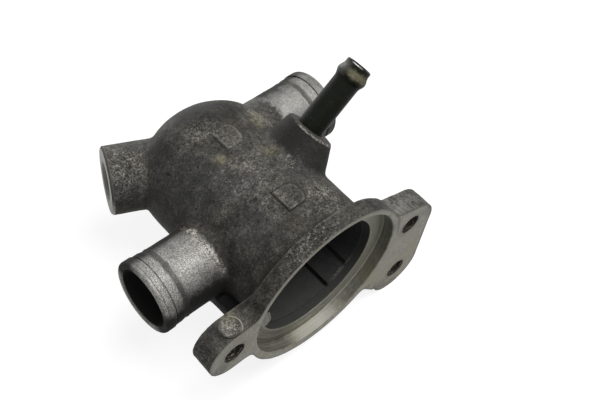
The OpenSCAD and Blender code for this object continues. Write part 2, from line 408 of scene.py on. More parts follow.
def flange_outline(board, x, z, ears):
    """Distance from the outline of the ring, blended into the ears."""
    ring = board.length(x, z + RING_DROP) - RING_R
    return ring.join(ears, EAR_CORNER)


def flange_distance(board, x, y, z, edge):
    """Distance from the flange: the ring, and the thicker ears."""
    ears = ears_distance(board, x, z)
    ring_slab = flange_outline(board, x, z, ears).trim(y - RING_T, edge)
    ear_slab = ears.trim(y - EAR_T, edge * 0.6)
    return ring_slab.join(ear_slab, 0.5).most(-2.0 - y)


def tube_axes(x, z):
    """Distance along the steel tube from the bore's axis, and across it."""
    c, s = turn(TUBE_ANGLE)
    return x * c + z * s, z * c - x * s


def tube_boss_flank(board, up, across, y):
    """How far a point lies outside the drafted, leaning side of the tube boss."""
    lean_c, lean_s = turn(TUBE_BOSS_LEAN)
    fore = y - TUBE_Y
    high = up - TUBE_BOSS_TOP
    axial = fore * lean_s + high * lean_c
    aside = fore * lean_c - high * lean_s
    return board.length(aside, across) - TUBE_BOSS_R + axial * math.tan(math.radians(TUBE_BOSS_DRAFT))


def sensor_axes(board, x, y, z):
    """Distance along the sensor boss from the bore's axis, and away from the boss's own axis."""
    c, s = turn(SENSOR_ANGLE)
    return (y - SENSOR_Y) * s - x * c, board.length((y - SENSOR_Y) * c + x * s, z)


def pad_outline(board, x, depth):
    """Distance from the outline of a casting pad: straight on the left, with round corners on the right."""
    corner_x = (x - PAD_RIGHT + PAD_CORNER).most(0.0)
    corner_y = (abs(depth) - PAD_W / 2 + PAD_CORNER).most(0.0)
    square = (PAD_LEFT - x).most(abs(depth) - PAD_W / 2)
    return (board.length(corner_x, corner_y) - PAD_CORNER).most(square)


def web_distance(x, y, z):
    """Distance from the web between the left ear and the front pipe's root."""
    web = (abs(z + WEB_DROP) - WEB_T / 2).trim(-WEB_X - x, 1.5)
    return web.most(x + 15.0).most(y - FRONT_PIPE_Y).most(RING_T - y)


def strip_distance(x, y, z, around):
    """Distance from the raised strip along the cavity wall."""
    c, s = turn(STRIP_ANGLE)
    strip = (abs(x * s + z * c) - STRIP_W / 2).trim(STRIP_R - around, 0.8).most(around - STRIP_ROOT_R)
    return strip.most(y - STRIP_END).most(THROAT_END - y).most(x * -c + z * s)


# Geometry trees


def inputs_of(tree, names):
    """Adds named inputs with their starting values to a node group."""
    for name, value in names.items():
        kind = "NodeSocketVector" if isinstance(value, tuple) else "NodeSocketFloat"
        socket = tree.interface.new_socket(name, in_out="INPUT", socket_type=kind)
        socket.default_value = value


def piece_tree(name, inputs):
    """Starts a geometry tree with named inputs."""
    tree = bpy.data.node_groups.new(name, "GeometryNodeTree")
    tree.interface.new_socket("Geometry", in_out="INPUT", socket_type="NodeSocketGeometry")
    inputs_of(tree, inputs)
    tree.interface.new_socket("Geometry", in_out="OUTPUT", socket_type="NodeSocketGeometry")
    board = Board(tree)
    return tree, board, board.outputs("NodeGroupInput")


def close_tree(board, mesh, material):
    """Ends a geometry tree: instances made real, and the finish set."""
    mesh = board.add("GeometryNodeRealizeInstances", None, {0: mesh})
    mesh = board.add("GeometryNodeSetMaterial", None, {"Geometry": mesh, "Material": material})
    board.add("NodeGroupOutput", None, {0: mesh}, None)


def casting_distance():
    """Node group: signed distance from the cast skin, machined cuts left out."""
    tree = bpy.data.node_groups.new("casting_distance", "GeometryNodeTree")
    inputs_of(tree, {"Position": (0.0, 0.0, 0.0), "Barrel radius": BARREL_R, "Wall": WALL,
                     "Pipe radius": PIPE_R, **FILLETS})
    tree.interface.new_socket("Distance", in_out="OUTPUT", socket_type="NodeSocketFloat")
    board = Board(tree)
    size = board.outputs("NodeGroupInput")
    x, y, z = board.split(size["Position"])
    around = board.length(x, z)

    def shell(inset):
        side = around - size["Barrel radius"] + inset
        dome = board.length(around, (y - CROWN_Y).most(0.0)) - DOME_R + inset
        return side.trim(dome, KNUCKLE)

    def stem(along, depth):
        pipe = board.length(y - depth, z) - size["Pipe radius"]
        return pipe.most(along - SLEEVE_FROM - 1.0).most(-along)

    up, across = tube_axes(x, z)
    flank = tube_boss_flank(board, up, across, y) * math.cos(math.radians(TUBE_BOSS_DRAFT))
    tube_boss = flank.trim(up - TUBE_BOSS_TOP, 0.9).most(15.0 - up)
    out, sensor_r = sensor_axes(board, x, y, z)
    sensor_boss = (sensor_r - SENSOR_R).most(out - SENSOR_REACH - 0.6).most(5.0 - out)
    mark = board.length(x + EJECTOR_X, y - EJECTOR_Y) - EJECTOR_R
    ejector = mark.trim(z - EJECTOR_TOP, 0.25).most(8.0 - z)

    skin = shell(0.0).most(3.0 - y)
    skin = skin.join(flange_distance(board, x, y, z, size["Edge round"]), size["Flange fillet"])
    skin = skin.join(web_distance(x, y, z), 4.0)
    skin = skin.join(stem(-x, FRONT_PIPE_Y), size["Pipe fillet"])
    skin = skin.join(stem(x, REAR_PIPE_Y), size["Pipe fillet"])
    skin = skin.join(tube_boss, size["Boss fillet"]).join(sensor_boss, size["Sensor fillet"])
    skin = skin.join(ejector, 0.2)
    for pad_y in (FRONT_PAD_Y, REAR_PAD_Y):
        pad = pad_outline(board, x, y - pad_y).trim(z - PAD_TOP, 0.3).most(20.0 - z)
        skin = skin.join(pad, 0.4)
    hollow = shell(size["Wall"]).most(THROAT_END - y)
    skin = skin.trim(-hollow, 0.6)
    skin = skin.join(strip_distance(x, y, z, around), 0.8)

    wave = (board.noise(size["Position"], WAVE_SCALE) - 0.2).most(0.0)
    board.add("NodeGroupOutput", None, {"Distance": skin + wave * WAVE_H + SKIN_INSET}, None)
    return tree


def casting_tree(distance, material):
    """Geometry Nodes: the distance fills a fine grid, is meshed, and every point is set on the true skin."""
    tree, board, size = piece_tree("casting_skin", {"Voxel": 1.0, **FILLETS})
    fillets = {name: size[name] for name in FILLETS}
    place = board.add("GeometryNodeInputPosition")

    def far(spot):
        return board.add("GeometryNodeGroup", {"node_tree": distance}, {"Position": spot, **fillets})

    def uphill(reach):
        """Direction in which the distance grows, from four probes round a point."""
        slope = None
        for corner in ((1, 1, 1), (1, -1, -1), (-1, 1, -1), (-1, -1, 1)):
            probe = board.vector("ADD", place, tuple(reach * k for k in corner))
            part = board.vector("SCALE", tuple(float(k) for k in corner), Scale=far(probe))
            slope = part if slope is None else board.vector("ADD", slope, part)
        return board.vector("NORMALIZE", slope)

    counts = {f"Resolution {axis}": (high - low) / size["Voxel"]
              for axis, low, high in zip("XYZ", GRID_LOW, GRID_HIGH)}
    fog = 0.5 - far(place) / (size["Voxel"] * 6.0)
    block = board.add("GeometryNodeVolumeCube", None, {
        "Density": fog.between(0.0, 1.0), "Background": 0.0, "Min": GRID_LOW, "Max": GRID_HIGH, **counts})
    mesh = board.add("GeometryNodeVolumeToMesh", {"resolution_mode": "GRID"}, {
        "Volume": block, "Threshold": 0.5, "Adaptivity": 0.0})
    for _ in range(2):
        step = board.vector("SCALE", uphill(0.15), Scale=-far(place).between(-1.0, 1.0))
        mesh = board.add("GeometryNodeSetPosition", None, {"Geometry": mesh, "Offset": step})
    mesh = board.add("GeometryNodeTransform", None, {"Geometry": mesh, "Scale": (MM, MM, MM)})
    close_tree(board, mesh, material)
    return tree


def wear_tree(distance, material):
    """Geometry Nodes: stores how deep each point lies in a nook, and how far out on an edge."""
    tree, board, size = piece_tree("casting_wear", {"Nook reach": NOOK_REACH, "Edge reach": EDGE_REACH})
    place = board.vector("SCALE", board.add("GeometryNodeInputPosition"), Scale=1.0 / MM)
    normal = board.add("GeometryNodeInputNormal")

    def far(reach):
        probe = board.vector("ADD", place, board.vector("SCALE", normal, Scale=reach))
        return board.add("GeometryNodeGroup", {"node_tree": distance}, {"Position": probe})

    values = {"crevice": 1.0 - far(size["Nook reach"]) / size["Nook reach"],
              "wear": 1.0 + far(-size["Edge reach"]) / size["Edge reach"]}
    mesh = size["Geometry"]
    for name, value in values.items():
        mesh = board.add("GeometryNodeStoreNamedAttribute", {"data_type": "FLOAT", "domain": "POINT"}, {
            "Geometry": mesh, "Name": name, "Value": value.between(0.0, 1.0)})
    close_tree(board, mesh, material)
    return tree


def run_tree(obj, tree, values):
    """Runs a node tree on a piece and keeps the result as a plain mesh."""
    modifier = obj.modifiers.new(tree.name, "NODES")
    modifier.node_group = tree
    for item in tree.interface.items_tree:
        if item.in_out == "INPUT" and item.name in values:
            modifier[item.identifier] = values[item.name]
    finished = bpy.data.meshes.new_from_object(obj.evaluated_get(bpy.context.evaluated_depsgraph_get()))
    obj.modifiers.remove(modifier)
    obj.data = finished


# Turned and threaded tools that machine the casting

ALONG_BORE = Matrix.Rotation(math.radians(-90), 4, "X")
ON_FRONT_PIPE = Matrix.Translation((0, FRONT_PIPE_Y, 0)) @ Matrix.Rotation(math.radians(-90), 4, "Y")
ON_REAR_PIPE = Matrix.Translation((0, REAR_PIPE_Y, 0)) @ Matrix.Rotation(math.radians(90), 4, "Y")
ON_TUBE = Matrix.Translation((0, TUBE_Y, 0)) @ Matrix.Rotation(math.radians(90 - TUBE_ANGLE), 4, "Y")
ON_SENSOR = (Matrix.Translation((0, SENSOR_Y, 0)) @ Matrix.Rotation(math.radians(180 - SENSOR_ANGLE), 4, "Z")
             @ Matrix.Rotation(math.radians(90), 4, "Y"))


def linked(name, data):
    """New object in the scene, of a mesh, a camera or a lamp."""
    obj = bpy.data.objects.new(name, data)
    bpy.context.scene.collection.objects.link(obj)
    return obj


def tool_object(name, bm):
    """Object of a finished bmesh, taken from millimetres to metres."""
    mesh = bpy.data.meshes.new(name)
    bm.to_mesh(mesh)
    bm.free()
    mesh.transform(Matrix.Scale(MM, 4))
    return linked(name, mesh)


def ringed(name, rings, place, segments):
    """Closed solid from rings round an axis: each has a height, and a radius that may follow the angle."""
    angles = [2 * math.pi * i / segments for i in range(segments)]
    bm = bmesh.new()
    loops = []
    for height, radius in rings:
        if radius(0.0) <= 1e-9:
            loops.append([bm.verts.new(place @ Vector((0, 0, height)))])
        else:
            points = [(radius(a) * math.cos(a), radius(a) * math.sin(a), height) for a in angles]
            loops.append([bm.verts.new(place @ Vector(point)) for point in points])
    for lower, upper in zip(loops, loops[1:]):
        for i in range(segments):
            j = (i + 1) % segments
            loop = [lower[i % len(lower)], lower[j % len(lower)],
                    upper[j % len(upper)], upper[i % len(upper)]]
            bm.faces.new(list(dict.fromkeys(loop)))
    bmesh.ops.recalc_face_normals(bm, faces=bm.faces)
    return tool_object(name, bm)


def turned(name, profile, place, segments):
    """Closed solid turned from (radius, height) points; the first and last lie on the axis."""
    rings = [(height, (lambda angle, r=radius: r)) for radius, height in profile]
    return ringed(name, rings, place, segments)


def thread_tool(name, start, end, core_r, depth, pitch, place, segments):
    """Cutter for a threaded hole: a rod with a helical ridge."""
    rows_per_turn = 5
    rows = round((end - start) / pitch * rows_per_turn)

    def ridge(height):
        return lambda angle: core_r + depth * abs(2 * ((height / pitch - angle / (2 * math.pi)) % 1.0) - 1)

    def point(angle):
        return 0.0

    heights = [start + (end - start) * k / rows for k in range(rows + 1)]
    rings = [(heights[0], point)] + [(h, ridge(h)) for h in heights] + [(heights[-1], point)]
    return ringed(name, rings, place, segments)


def cut(obj, tools, operation="DIFFERENCE"):
    """Cuts solids out of a piece, or adds them to it, and throws the tools away."""
    for tool in tools:
        modifier = obj.modifiers.new(tool.name, "BOOLEAN")
        modifier.operation = operation
        modifier.solver = "MANIFOLD"
        modifier.object = tool
    finished = bpy.data.meshes.new_from_object(obj.evaluated_get(bpy.context.evaluated_depsgraph_get()))
    obj.modifiers.clear()
    obj.data = finished
    for tool in tools:
        bpy.data.objects.remove(tool)


def pipe_sleeve(name, place):
    """Turned end of a hose pipe: shallow valley, low bead, groove and rounded lip with a fine turned line."""
    lip_from = PIPE_REACH - LIP_W
    band_to = lip_from - GROOVE_W
    band_from = band_to - BAND_W
    lip_r = PIPE_R + LIP_H
    band_r = PIPE_R + BAND_H
    groove_r = band_r - GROOVE_H
    line = PIPE_REACH - RIM_R - 0.5
    steps = 8
    valley = [(PIPE_R - VALLEY_H * math.sin(math.pi * k / steps) ** 2, band_from - VALLEY_W * (1 - k / steps))
              for k in range(steps + 1)]
    bead = [(band_r - 0.03, band_from + 0.35), (band_r, band_from + 0.8), (band_r, band_to - 0.1)]
    groove = [(groove_r, band_to + 0.05), (groove_r, lip_from - 0.05)]
    lip = [(lip_r - LINE_H, lip_from), (lip_r, lip_from + 0.25), (lip_r, line - LINE_HALF_W),
           (lip_r - LINE_H, line), (lip_r, line + LINE_HALF_W)]
    rim = [(lip_r - RIM_R + RIM_R * math.cos(a), PIPE_REACH - RIM_R + RIM_R * math.sin(a))
           for a in (math.radians(15 * i) for i in range(7))]
    stem = [(0, SLEEVE_FROM), (PIPE_R - 0.4, SLEEVE_FROM)]
    return turned(name, stem + valley + bead + groove + lip + rim + [(0, PIPE_REACH)], place, 128)


def seat_tools():
    """Counterbore of the flange, faced off at its front, and the throat below it."""
    beyond = 80
    seat = [(0, -8), (beyond, -8), (beyond, 0), (SEAT_R + SEAT_BEVEL, 0), (SEAT_R, SEAT_BEVEL),
            (SEAT_R, SEAT_DEPTH), (0, SEAT_DEPTH)]
    end = THROAT_END + 0.5
    throat = [(0, 2), (THROAT_R, 2), (THROAT_R, end), (0, end)]
    return [turned("seat_tool", seat, ALONG_BORE, 192), turned("throat_tool", throat, ALONG_BORE, 160)]


def bore_tools():
    """Bores of the two hose pipes, and the stepped hole of the steel tube."""
    mouth_r = PIPE_BORE_R + 0.9
    past = PIPE_REACH + 3
    bore = [(0, 2), (PIPE_BORE_R, 2), (PIPE_BORE_R, PIPE_REACH - 0.5), (mouth_r, PIPE_REACH + 0.4),
            (mouth_r, past), (0, past)]
    way_r = TUBE_R - SHOULDER_W
    above = TUBE_BOSS_TOP + 3
    tube_hole = [(0, 10), (way_r, 10), (way_r, TUBE_SEAT), (TUBE_R, TUBE_SEAT), (TUBE_R, above), (0, above)]
    return [turned("front_bore", bore, ON_FRONT_PIPE, 128), turned("rear_bore", bore, ON_REAR_PIPE, 128),
            turned("tube_hole", tube_hole, ON_TUBE, 64)]


def sensor_tools():
    """Facing of the sensor boss with its bevels, and the threaded sensor hole."""
    face = SENSOR_REACH
    clear_r = SENSOR_R + 6
    facing = [(0, face - 2.0), (SENSOR_HOLE_R - 1.2, face - 2.0), (SENSOR_HOLE_R + SENSOR_BEVEL, face),
              (SENSOR_R - SENSOR_BEVEL, face), (SENSOR_R + 1.0, face - SENSOR_BEVEL - 1.0),
              (clear_r, face - 2), (clear_r, face + 4), (0, face + 4)]
    thread = thread_tool("sensor_thread", 10.0, face + 2.0, SENSOR_HOLE_R - SENSOR_THREAD_H, SENSOR_THREAD_H,
                         SENSOR_PITCH, ON_SENSOR, 64)
    return [turned("sensor_facing", facing, ON_SENSOR, 128), thread]


def bolt_tools():
    """Bevelled bolt holes with fine helical lines."""
    bevel = [(0, -3), (HOLE_R + 0.6, -3), (HOLE_R + 0.3, 0), (HOLE_R - 0.4, 0.7), (0, 0.7)]
    tools = []
    for k, (hole_x, hole_z) in enumerate(BOLT_HOLES):
        place = Matrix.Translation((hole_x, 0, hole_z)) @ ALONG_BORE
        tools.append(turned(f"bolt_bevel_{k}", bevel, place, 64))
        tools.append(thread_tool(f"bolt_hole_{k}", -2.0, EAR_T + 4.0, HOLE_R - 0.2, BOLT_THREAD_H, BOLT_PITCH,
                                 place, 48))
    return tools


def throat_lug():
    """Short lug left standing in the throat, for the thermostat's frame."""
    c, s = turn(-LUG_ANGLE)
    inner = THROAT_R - LUG_H
    outer = THROAT_R + 0.8
    half = LUG_W / 2
    outline = [(outer, -half), (inner + LUG_CORNER, -half), (inner, LUG_CORNER - half),
               (inner, half - LUG_CORNER), (inner + LUG_CORNER, half), (outer, half)]
    bm = bmesh.new()
    ends = []
    for depth in (SEAT_DEPTH, THROAT_END + 0.9):
        ends.append([bm.verts.new((a * c - b * s, depth, a * s + b * c)) for a, b in outline])
    bm.faces.new(ends[0])
    bm.faces.new(ends[1])
    for i in range(len(outline)):
        j = (i + 1) % len(outline)
        bm.faces.new((ends[0][i], ends[0][j], ends[1][j], ends[1][i]))
    bmesh.ops.recalc_face_normals(bm, faces=bm.faces)
    return tool_object("throat_lug", bm)


def machine_casting(casting):
    """Adds the turned pipe ends, makes every machined cut, and leaves the lug standing in the throat."""
    sleeves = [pipe_sleeve("front_sleeve", ON_FRONT_PIPE), pipe_sleeve("rear_sleeve", ON_REAR_PIPE)]
    cut(casting, sleeves, "UNION")
    cut(casting, seat_tools() + bore_tools() + sensor_tools() + bolt_tools())
    cut(casting, [throat_lug()], "UNION")


def finish_faces(obj):
    mesh = obj.data
    mesh.polygons.foreach_set("use_smooth", [True] * len(mesh.polygons))
    mesh.set_sharp_from_angle(angle=math.radians(SHARP_ANGLE))


# Materials


def srgb(red, green, blue):
    """Colour as seen on screen, 0 to 255, to the linear values of a shader."""
    shares = (red / 255, green / 255, blue / 255)
    return tuple(((v + 0.055) / 1.055) ** 2.4 if v > 0.04045 else v / 12.92 for v in shares)


def new_material(name):
    """Material with its board and shader, and Object coordinates in millimetres."""
    material = bpy.data.materials.new(name)
    material.use_nodes = True
    board = Board(material.node_tree)
    shader = material.node_tree.nodes["Principled BSDF"]
    place = board.vector("SCALE", board.add("ShaderNodeTexCoord", out="Object"), Scale=1.0 / MM)
    return material, board, shader, place


def finish_material(board, shader, links, height, bump, specular):
    """Links the layers to the shader, with a bump from the height."""
    for name, wire in links.items():
        board.tree.links.new(wire.socket, shader.inputs[name])
    normal = board.add("ShaderNodeBump", None, {"Strength": bump, "Distance": MM, "Height": height})
    board.tree.links.new(normal.socket, shader.inputs["Normal"])
    shader.inputs["Specular IOR Level"].default_value = specular


def spots(m, items):
    """Soft blobs on a piece: each has a centre, a radius and an amount."""
    blobs = []
    for centre, radius, amount in items:
        gap = m.board.vector("DISTANCE", m.place, centre, out="Value")
        blobs.append((gap + m.wobble * radius * 0.7).fall(radius * 0.3, radius) * amount)
    return largest(blobs)


def casting_marks(board, place):
    """What the layers of the casting's finish share: place, noises, nooks, edges and its zones."""
    m = SimpleNamespace(board=board, place=place)
    m.x, m.y, m.z = board.split(place)
    m.around = board.length(m.x, m.z)
    m.crevice = board.add("ShaderNodeAttribute", {"attribute_name": "crevice"}, None, "Fac")
    m.wear = board.add("ShaderNodeAttribute", {"attribute_name": "wear"}, None, "Fac")
    m.cloud = board.noise(place, 0.055, 3.0, 0.55)
    m.patch = board.noise(place, 0.22, 4.0, 0.6)
    m.mottle = board.noise(place, 0.75, 3.0, 0.65)
    m.fine = board.noise(place, 1.7, 2.0, 0.7)
    m.wobble = board.noise(place, 0.35, 3.0, 0.6) - 0.5
    mark_pipes(m)
    mark_machined(m)
    mark_bosses(m)
    mark_pads(m)
    return m


def mark_pipes(m):
    """Zones of the hose pipes, brushed from the root outwards, and of the web and the low side of the front
    pipe's root, painted near black as shade.
    """
    board, x, y, z, wobble = m.board, m.x, m.y, m.z, m.wobble
    m.front_out = -x
    front_r = board.length(y - FRONT_PIPE_Y, z)
    rear_r = board.length(y - REAR_PIPE_Y, z)
    m.on_front = (m.front_out + wobble * 4.0).rise(27.2, 29.2) * front_r.fall(15.9, 17.2)
    m.on_rear = (x + wobble * 6.0).rise(30.5, 33.5) * rear_r.fall(15.6, 16.6)
    # Painted shade: the web and the low side of the front pipe's root are painted near black.
    m.on_web = z.fall(-4.0, -1.0) * z.rise(-15.0, -13.0) * x.band(-34.0, -18.0, 1.5) * y.band(8.5, 32.0, 1.5)
    m.brushed = m.on_front.most(m.on_rear) * (1.0 - m.on_web)
    m.in_front = front_r.fall(11.9, 12.2) * m.front_out.rise(20.0, 22.0) * m.front_out.fall(54.2, 54.8)
    m.in_rear = rear_r.fall(11.9, 12.2) * x.rise(20.0, 22.0) * x.fall(54.2, 54.8)


def mark_machined(m):
    """Zones of the inside, the seat, the machined face and the bolt holes."""
    board, x, y, z, around = m.board, m.x, m.y, m.z, m.around
    dome = board.length(around, (y - CROWN_Y).most(0.0))
    m.cavity = dome.fall(29.0, 29.4) * around.fall(26.8, 27.1) * y.rise(7.9, 8.3)
    m.throat = y.band(5.5, 8.4, 0.15) * around.fall(26.4, 26.8)
    m.inside = largest([m.cavity, m.in_front, m.in_rear, m.throat])
    m.face = y.fall(0.02, 0.12)
    m.seat = y.fall(5.2, 5.5) * around.fall(33.2, 33.6)
    m.seat_floor = y.band(4.9, 5.25, 0.08) * around.fall(32.9, 33.0)
    m.seat_wall = y.band(0.4, 4.9, 0.1) * around.band(32.8, 33.3, 0.1)
    m.machined = m.face.most(m.seat)
    m.outline = flange_outline(board, x, z, ears_distance(board, x, z))
    first, second, third = (board.length(x - hole_x, z - hole_z) for hole_x, hole_z in BOLT_HOLES)
    m.bolt_r = first.least(second).least(third)
    m.in_bolt = m.bolt_r.fall(4.45, 4.6) * y.rise(0.25, 0.5) * y.fall(10.5, 11.0)


def mark_bosses(m):
    """Zones of the sensor boss and the tube boss."""
    board, x, y, z, wobble = m.board, m.x, m.y, m.z, m.wobble
    m.sensor_out, sensor_r = sensor_axes(board, x, y, z)
    m.sensor_end = m.sensor_out.rise(37.0, 37.15) * sensor_r.fall(14.5, 15.0)
    m.sensor_edge = m.sensor_end * sensor_r.rise(12.45, 12.6)
    m.in_sensor = sensor_r.fall(7.2, 7.5) * m.sensor_out.rise(20.0, 22.0)
    up, across = tube_axes(x, z)
    tube_r = board.length(across, y - TUBE_Y)
    m.tube_top = up.rise(37.4, 37.8) * tube_r.fall(11.0, 11.5)
    rim = (up + wobble * 0.8).band(37.1, 37.75, 0.15) * tube_r.band(8.9, 11.0, 0.2)
    m.tube_edge = rim * (y + wobble * 8.0).fall(42.0, 47.0)
    flank = tube_boss_flank(board, up, across, y)
    m.on_tube_boss = abs(flank).fall(0.9, 2.4) * (up + wobble * 3.0).rise(27.0, 29.0)


def mark_pads(m):
    """Lines round the casting pads and the ejector mark."""
    board, x, y, z, wobble = m.board, m.x, m.y, m.z, m.wobble
    on_top = z.rise(20.0, 22.0)
    rims = [(pad_outline(board, x, y - pad_y) + wobble * 0.4).band(-0.05, 0.4, 0.15)
            for pad_y in (FRONT_PAD_Y, REAR_PAD_Y)]
    # Dark lines round the pads: grime in the crease, and painted shade that is stronger on their left side,
    # which turns from the light.
    fading = (1.0 - 0.35 * x.rise(-3.5, 2.0)) * (0.5 + 0.7 * y.fall(30.0, 50.0))
    m.pad_line = largest(rims) * on_top * fading
    inner = pad_outline(board, x, y - FRONT_PAD_Y).band(-0.75, -0.3, 0.12)
    m.pad_light = inner * (x + y - FRONT_PAD_Y).fall(-5.0, -2.0) * on_top
    mark_r = board.length(x + EJECTOR_X, y - EJECTOR_Y)
    on_ear = z.rise(10.0, 10.5)
    m.on_mark = mark_r.fall(2.4, 4.3) * on_ear
    m.mark_rim = mark_r.band(3.95, 4.4, 0.12) * on_ear


def skin_colour(m):
    """Cast skin: paler and more speckled where it was handled, darker in nooks with grime and painted shade,
    with painted shade on the tube boss, the web and the ejector mark, and painted fill light on the side away
    from the camera.
    """
    board, x, y, z, place = m.board, m.x, m.y, m.z, m.place
    patch, mottle, fine, wobble = m.patch, m.mottle, m.fine, m.wobble
    handled = spots(m, HANDLED).most(m.on_mark * 0.75)
    tone = 0.47 + (m.cloud - 0.5) * 0.5 + (patch - 0.5) * 0.6 + (mottle - 0.5) * (0.8 + 0.5 * handled)
    tone = tone + (fine - 0.5) * (0.95 + 1.1 * handled) + handled * 0.1 - spots(m, DARKER_SPOTS) * 0.2
    # Painted fill light: the skin is lighter on its side away from the camera, where little light falls.
    away_fill_light = (x * 0.47 + (y - 45.0) * 0.38 - z * 0.8).rise(8.0, 24.0)
    tone = tone + m.on_mark * 0.09 + away_fill_light * 0.14
    skin = board.colours(tone, [
        (0.0, srgb(20, 20, 18)), (0.3, srgb(46, 45, 42)), (0.55, srgb(76, 74, 69)),
        (0.8, srgb(112, 110, 103)), (1.0, srgb(165, 161, 152))])
    bluish = board.noise(place, 0.04).rise(0.5, 0.68).most(spots(m, BLUISH))
    tan = board.noise(place, 0.075, 3.0, 0.6).rise(0.5, 0.7)
    grit = board.noise(place, 1.25, 1.0)
    pits = board.noise(place, 0.55, 0.0).fall(0.2, 0.25)
    rubbed = spots(m, RUBBED) * (patch + mottle * 0.5).rise(0.52, 0.85) * x.rise(24.0, 27.0)
    edges = m.wear.rise(0.1, 0.5) * (0.15 + patch.rise(0.4, 0.6) * 0.4)
    # Darker in nooks and creases: grime there, and painted shade that stands in for occlusion.
    nook_dirt_and_shade = (m.crevice + (patch - 0.5) * 0.25).rise(0.05, 0.4)
    # Painted shade on the tube boss's flank, which turns away from the light.
    boss_flank_shade = m.on_tube_boss * (0.45 + patch * 0.4 + 0.3 * y.rise(34.0, 40.0))
    # Painted shade on the front of the ejector mark's rim, and a painted highlight on its right side.
    mark_shade = m.mark_rim * (y - EJECTOR_Y + wobble * 2.0).fall(-2.5, 0.5)
    mark_highlight = m.mark_rim * (x + EJECTOR_X + wobble * 2.0).rise(1.0, 3.0)
    return board.layered(skin, [
        (bluish * 0.28, srgb(60, 61, 66)),
        (tan * 0.16, srgb(82, 77, 64)),
        (grit.fall(0.3, 0.36) * 0.6, srgb(22, 21, 19)),
        (grit.rise(0.64, 0.72) * handled * 0.3, srgb(150, 148, 141)),
        (pits * 0.7, srgb(20, 18, 16)),
        (rubbed, board.mix(mottle, srgb(98, 98, 93), srgb(144, 143, 137))),
        (edges, srgb(140, 137, 129)),
        (nook_dirt_and_shade * (0.75 - 0.45 * handled), srgb(34, 32, 28)),
        (boss_flank_shade, board.mix(patch * 0.5 + fine * 0.5 - 0.1, srgb(6, 6, 6), srgb(44, 43, 41))),
        (m.pad_line * (0.45 + mottle * 0.8), srgb(22, 20, 18)),
        (m.pad_light * (fine + mottle).rise(0.85, 1.15) * 0.45, srgb(160, 156, 148)),
        (mark_shade * 0.8, srgb(18, 18, 17)),
        (mark_highlight * 0.7, srgb(165, 162, 154)),
        (m.on_web, srgb(9, 9, 9)),
        (spots(m, OCHRE) * mottle.rise(0.3, 0.6), srgb(126, 122, 98))])


def pipe_highlight_share(m):
    """How bright a hose pipe is painted: a painted highlight along the top and painted shade below, darker at
    the front pipe's root, fair again on the far side.
    """
    board, x, y, z, patch = m.board, m.x, m.y, m.z, m.patch
    to_rear = x.rise(-1.0, 1.0)
    front_line = z * 0.95 - (y - FRONT_PIPE_Y) * (0.26 + 0.14 * m.front_out.rise(44.0, 50.0))
    rear_line = z * 0.9 - (y - REAR_PIPE_Y) * 0.43 + 0.7
    m.top_line = board.blend(to_rear, front_line, rear_line) / PIPE_R
    # Painted highlight share: brightest where a pipe's surface faces between the lamp and the camera.
    clean = (m.top_line + m.wobble * 0.25 + (patch - 0.5) * 0.2).rise(0.5, 1.0)
    pipe_y = y - board.blend(to_rear, FRONT_PIPE_Y, REAR_PIPE_Y)
    far_side = ((z * 0.8 - pipe_y * 0.38) / PIPE_R).fall(-0.4, -0.06) * abs(x).rise(30.0, 34.0)
    near_end = m.on_rear * x.rise(40.0, 46.0) * pipe_y.fall(-11.0, -7.0)
    shaded_root = m.front_out.fall(28.0, 31.5) * (y - FRONT_PIPE_Y).rise(-4.0, 3.0) * x.fall(-5.0, 0.0)
    return clean.most(far_side * (0.65 + patch * 0.4)).most(near_end * 0.4) * (1.0 - 0.35 * shaded_root)


def pipe_colour(m):
    """Brushed hose pipes as a lit and a shaded copy of the metal, with a painted highlight on the rear pipe,
    painted shade in their grooves and a scraped root.
    """
    board, x, z, place = m.board, m.x, m.z, m.place
    patch, mottle, fine, wobble = m.patch, m.mottle, m.fine, m.wobble
    m.clean = pipe_highlight_share(m)
    m.scratch = board.noise(board.vector("MULTIPLY", place, (2.6, 0.9, 0.9)), 1.0, 3.0, 0.65)
    grain = board.noise(place, 2.7, 1.0)
    tone = 0.5 + (m.scratch - 0.5) * 0.7 + (patch - 0.5) * 0.25 + (fine - 0.5) * 0.4
    tone = tone + (grain - 0.5) * 1.1 * m.on_front
    # Lit copy and painted-shade copy of the brushed metal, blended by the highlight share.
    bright = board.colours(tone, [
        (0.1, srgb(74, 73, 71)), (0.45, srgb(132, 131, 127)), (0.95, srgb(206, 203, 197))])
    shaded_brush = board.mix(tone, srgb(16, 16, 15), srgb(44, 43, 41))
    end = m.front_out.most(x)
    root = (m.front_out + wobble * 3.0).band(28.0, 30.6, 0.6) * (z + wobble * 3.0).rise(5.0, 10.0)
    scraped = (fine * 0.6 + mottle * 0.4 + (patch - 0.5) * 0.6).rise(0.57, 0.65)
    return board.layered(board.mix(m.clean, shaded_brush, bright), [
        # Painted highlight along the rear pipe.
        (m.on_rear * m.top_line.rise(0.95, 1.25) * x.fall(44.0, 49.0) * 0.3, srgb(214, 213, 209)),
        (m.on_rear * x.rise(50.6, 50.9) * 0.4, srgb(88, 88, 86)),
        (grain.fall(0.28, 0.34) * m.on_front * 0.55, srgb(46, 44, 42)),
        ((end + wobble * 0.8).band(44.7, 46.9, 0.5) * 0.72, srgb(50, 49, 46)),
        # Painted shade in the groove and in the fine turned line.
        (end.band(50.3, 50.7, 0.08) * 0.45, srgb(46, 45, 43)),
        (end.band(53.2, 53.4, 0.08) * 0.4, srgb(60, 59, 56)),
        (root * patch.rise(0.45, 0.6) * 0.4, srgb(120, 108, 93)),
        (root * scraped * 0.75, srgb(226, 222, 214)),
        (root * (fine + (mottle - 0.5) * 0.5).fall(0.4, 0.46) * 0.8, srgb(54, 50, 45))])


